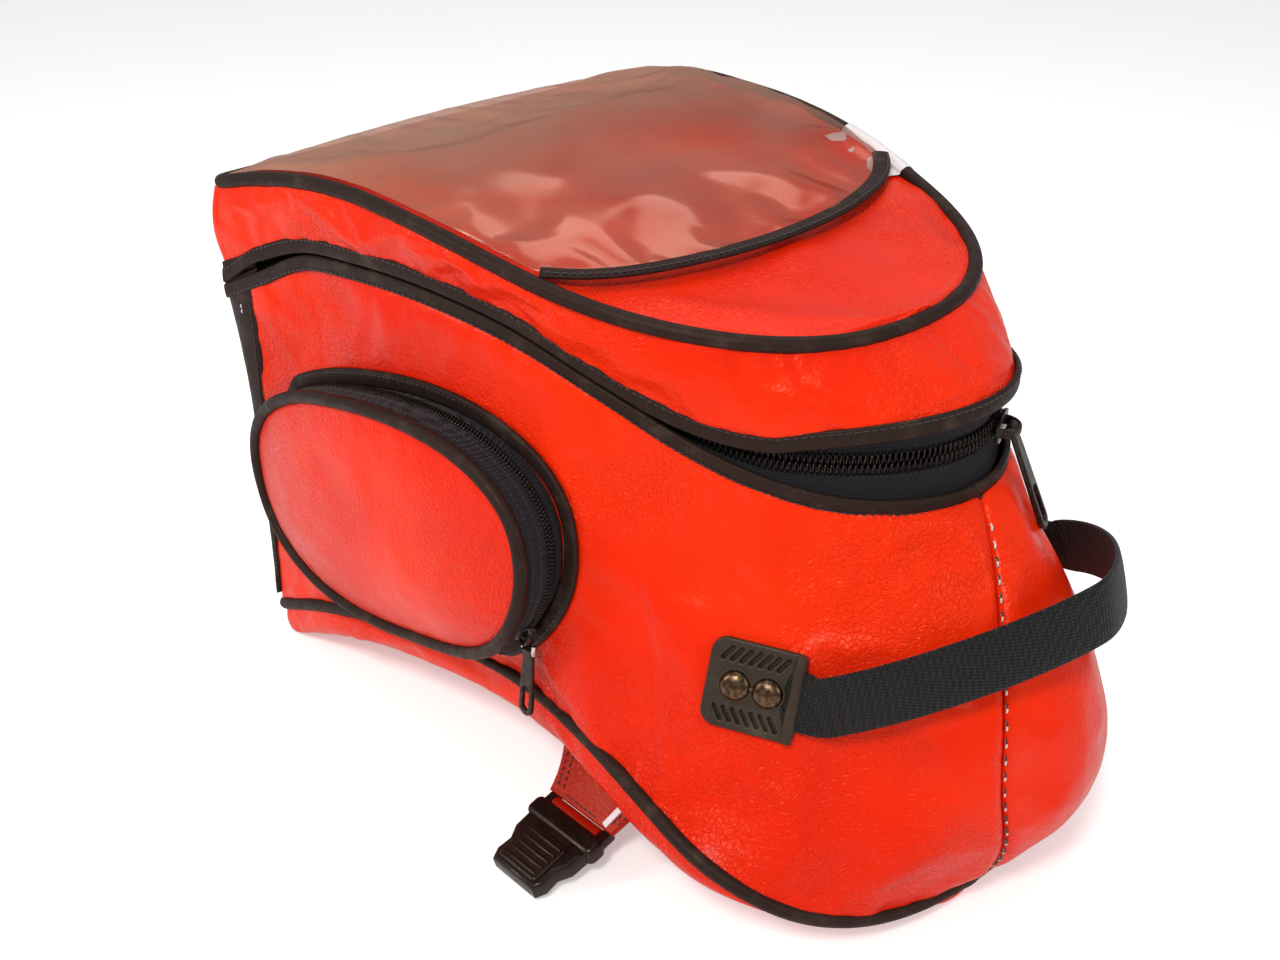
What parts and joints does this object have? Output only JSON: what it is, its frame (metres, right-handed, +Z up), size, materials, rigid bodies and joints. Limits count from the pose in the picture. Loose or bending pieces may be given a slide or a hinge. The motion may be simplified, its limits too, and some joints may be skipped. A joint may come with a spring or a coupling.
{
  "type": "tank bag",
  "caption": "Soft motorcycle tank bag with zipped lid, clear map pocket, zipped side pockets, webbing handle and strap buckles.",
  "frame": {"origin": "under the middle of the body, level with the lowest edge of the base", "axes": "+X from the flat end (steering head) to the rounded nose (rider), +Y to the rider's right, +Z up"},
  "size_m": [0.4116, 0.3326, 0.273],
  "materials": {
    "red_leatherette": "semi-gloss grained leatherette",
    "black_trim": "satin binding tape",
    "black_webbing": "woven polyester webbing",
    "zip_tape": "herringbone zip tape",
    "zip_teeth": "nylon coil",
    "black_plastic": "moulded, fine texture",
    "zip_metal": "black enamel",
    "bronze": "antique bronze",
    "clear_vinyl": "flexible clear sheet",
    "white_vinyl": "folded vinyl edge",
    "lining": "lining over foam board"
  },
  "bodies": {
    "bag": {"side_panel_left": "red_leatherette", "side_panel_right": "red_leatherette", "front_panel": "black_trim", "foot_strip": "red_leatherette", "corner_band_left": "black_trim", "corner_band_right": "black_trim", "nose_seam_tape": "black_trim", "base_panel": "red_leatherette", "base_board": "lining", "base_piping": "black_trim", "lower_zip_binding": "black_trim", "lower_zip_tape": "zip_tape", "lower_zip_teeth": "zip_teeth", "handle_plate_left": "black_plastic", "handle_plate_right": "black_plastic", "handle_rivets": "bronze", "pocket_gusset_left": "zip_tape", "pocket_gusset_right": "zip_tape", "pocket_binding_left": "black_trim", "pocket_binding_right": "black_trim", "pocket_teeth_left": "zip_teeth", "pocket_teeth_right": "zip_teeth"},
    "lid": {"top_panel": "red_leatherette", "lid_gusset": "red_leatherette", "lid_front_strip": "red_leatherette", "lid_hinge_panel": "black_trim", "lid_board": "lining", "top_piping": "black_trim", "map_window": "clear_vinyl", "window_binding": "black_trim", "window_tab": "white_vinyl", "upper_zip_binding": "black_trim", "upper_zip_tape": "zip_tape", "upper_zip_teeth": "zip_teeth"},
    "main_slider": {"main_slider": "zip_metal"},
    "main_pull_tab": {"main_pull_tab": "zip_metal"},
    "handle": {"handle_strap": "black_webbing"},
    "pocket_flap_left": {"pocket_panel_left": "red_leatherette", "pocket_piping_left": "black_trim", "pocket_flap_teeth_left": "zip_teeth"},
    "pocket_slider_left": {"pocket_slider_left": "zip_metal"},
    "pocket_pull_left": {"pocket_pull_left": "zip_metal"},
    "strap_tab_left": {"strap_tab_left": "red_leatherette"},
    "buckle_left": {"buckle_left": "black_plastic"},
    "pocket_flap_right": {"pocket_panel_right": "red_leatherette", "pocket_piping_right": "black_trim", "pocket_flap_teeth_right": "zip_teeth"},
    "pocket_slider_right": {"pocket_slider_right": "zip_metal"},
    "pocket_pull_right": {"pocket_pull_right": "zip_metal"},
    "strap_tab_right": {"strap_tab_right": "red_leatherette"},
    "buckle_right": {"buckle_right": "black_plastic"}
  },
  "joints": [
    {"name": "lid_hinge", "type": "hinge", "parent": "bag", "child": "lid", "pos_m": [-0.1855, 0, 0.2085], "axis": [0, -1, 0], "range_deg": [0, 100]},
    {"name": "main_slider_travel", "type": "hinge", "parent": "bag", "child": "main_slider", "pos_m": [0.10422, 0, 0.196], "axis": [0, 0, 1], "range_deg": [-50, 0]},
    {"name": "main_pull_swing", "type": "hinge", "parent": "main_slider", "child": "main_pull_tab", "pos_m": [0.15557, 0.02075, 0.1959], "axis": [0.3746, -0.9272, 0], "range_deg": [0, 100]},
    {"name": "handle_swing", "type": "hinge", "parent": "bag", "child": "handle", "pos_m": [0.1506, 0, 0.10926], "axis": [0, -1, 0], "range_deg": [-24, 18]},
    {"name": "pocket_hinge_right", "type": "hinge", "parent": "bag", "child": "pocket_flap_right", "pos_m": [-0.15771, 0.13563, 0.06385], "axis": [-0.8352, 0, 0.55], "range_deg": [0, 60]},
    {"name": "pocket_slider_travel_right", "type": "hinge", "parent": "bag", "child": "pocket_slider_right", "pos_m": [-0.01596, 0.10635, 0.14066], "axis": [0.3274, -0.8968, -0.2977], "range_deg": [-8, 8]},
    {"name": "pocket_pull_swing_right", "type": "hinge", "parent": "pocket_slider_right", "child": "pocket_pull_right", "pos_m": [0.03367, 0.13344, 0.10054], "axis": [1, 0, 0], "range_deg": [0, 95]},
    {"name": "strap_tab_hinge_right", "type": "hinge", "parent": "bag", "child": "strap_tab_right", "pos_m": [0.055, 0.104, 0.042], "axis": [1, 0, 0], "range_deg": [-45, 8]},
    {"name": "buckle_hinge_right", "type": "hinge", "parent": "strap_tab_right", "child": "buckle_right", "pos_m": [0.055, 0.12809, 0.01525], "axis": [1, 0, 0], "range_deg": [-35, 35]},
    {"name": "pocket_hinge_left", "type": "hinge", "parent": "bag", "child": "pocket_flap_left", "pos_m": [-0.15771, -0.13563, 0.06385], "axis": [0.8352, 0, -0.55], "range_deg": [0, 60]},
    {"name": "pocket_slider_travel_left", "type": "hinge", "parent": "bag", "child": "pocket_slider_left", "pos_m": [-0.01596, -0.10635, 0.14066], "axis": [-0.3274, -0.8968, 0.2977], "range_deg": [-8, 8]},
    {"name": "pocket_pull_swing_left", "type": "hinge", "parent": "pocket_slider_left", "child": "pocket_pull_left", "pos_m": [0.03367, -0.13344, 0.10054], "axis": [-1, 0, 0], "range_deg": [0, 95]},
    {"name": "strap_tab_hinge_left", "type": "hinge", "parent": "bag", "child": "strap_tab_left", "pos_m": [0.055, -0.104, 0.042], "axis": [-1, 0, 0], "range_deg": [-45, 8]},
    {"name": "buckle_hinge_left", "type": "hinge", "parent": "strap_tab_left", "child": "buckle_left", "pos_m": [0.055, -0.12809, 0.01525], "axis": [-1, 0, 0], "range_deg": [-35, 35]}
  ]
}
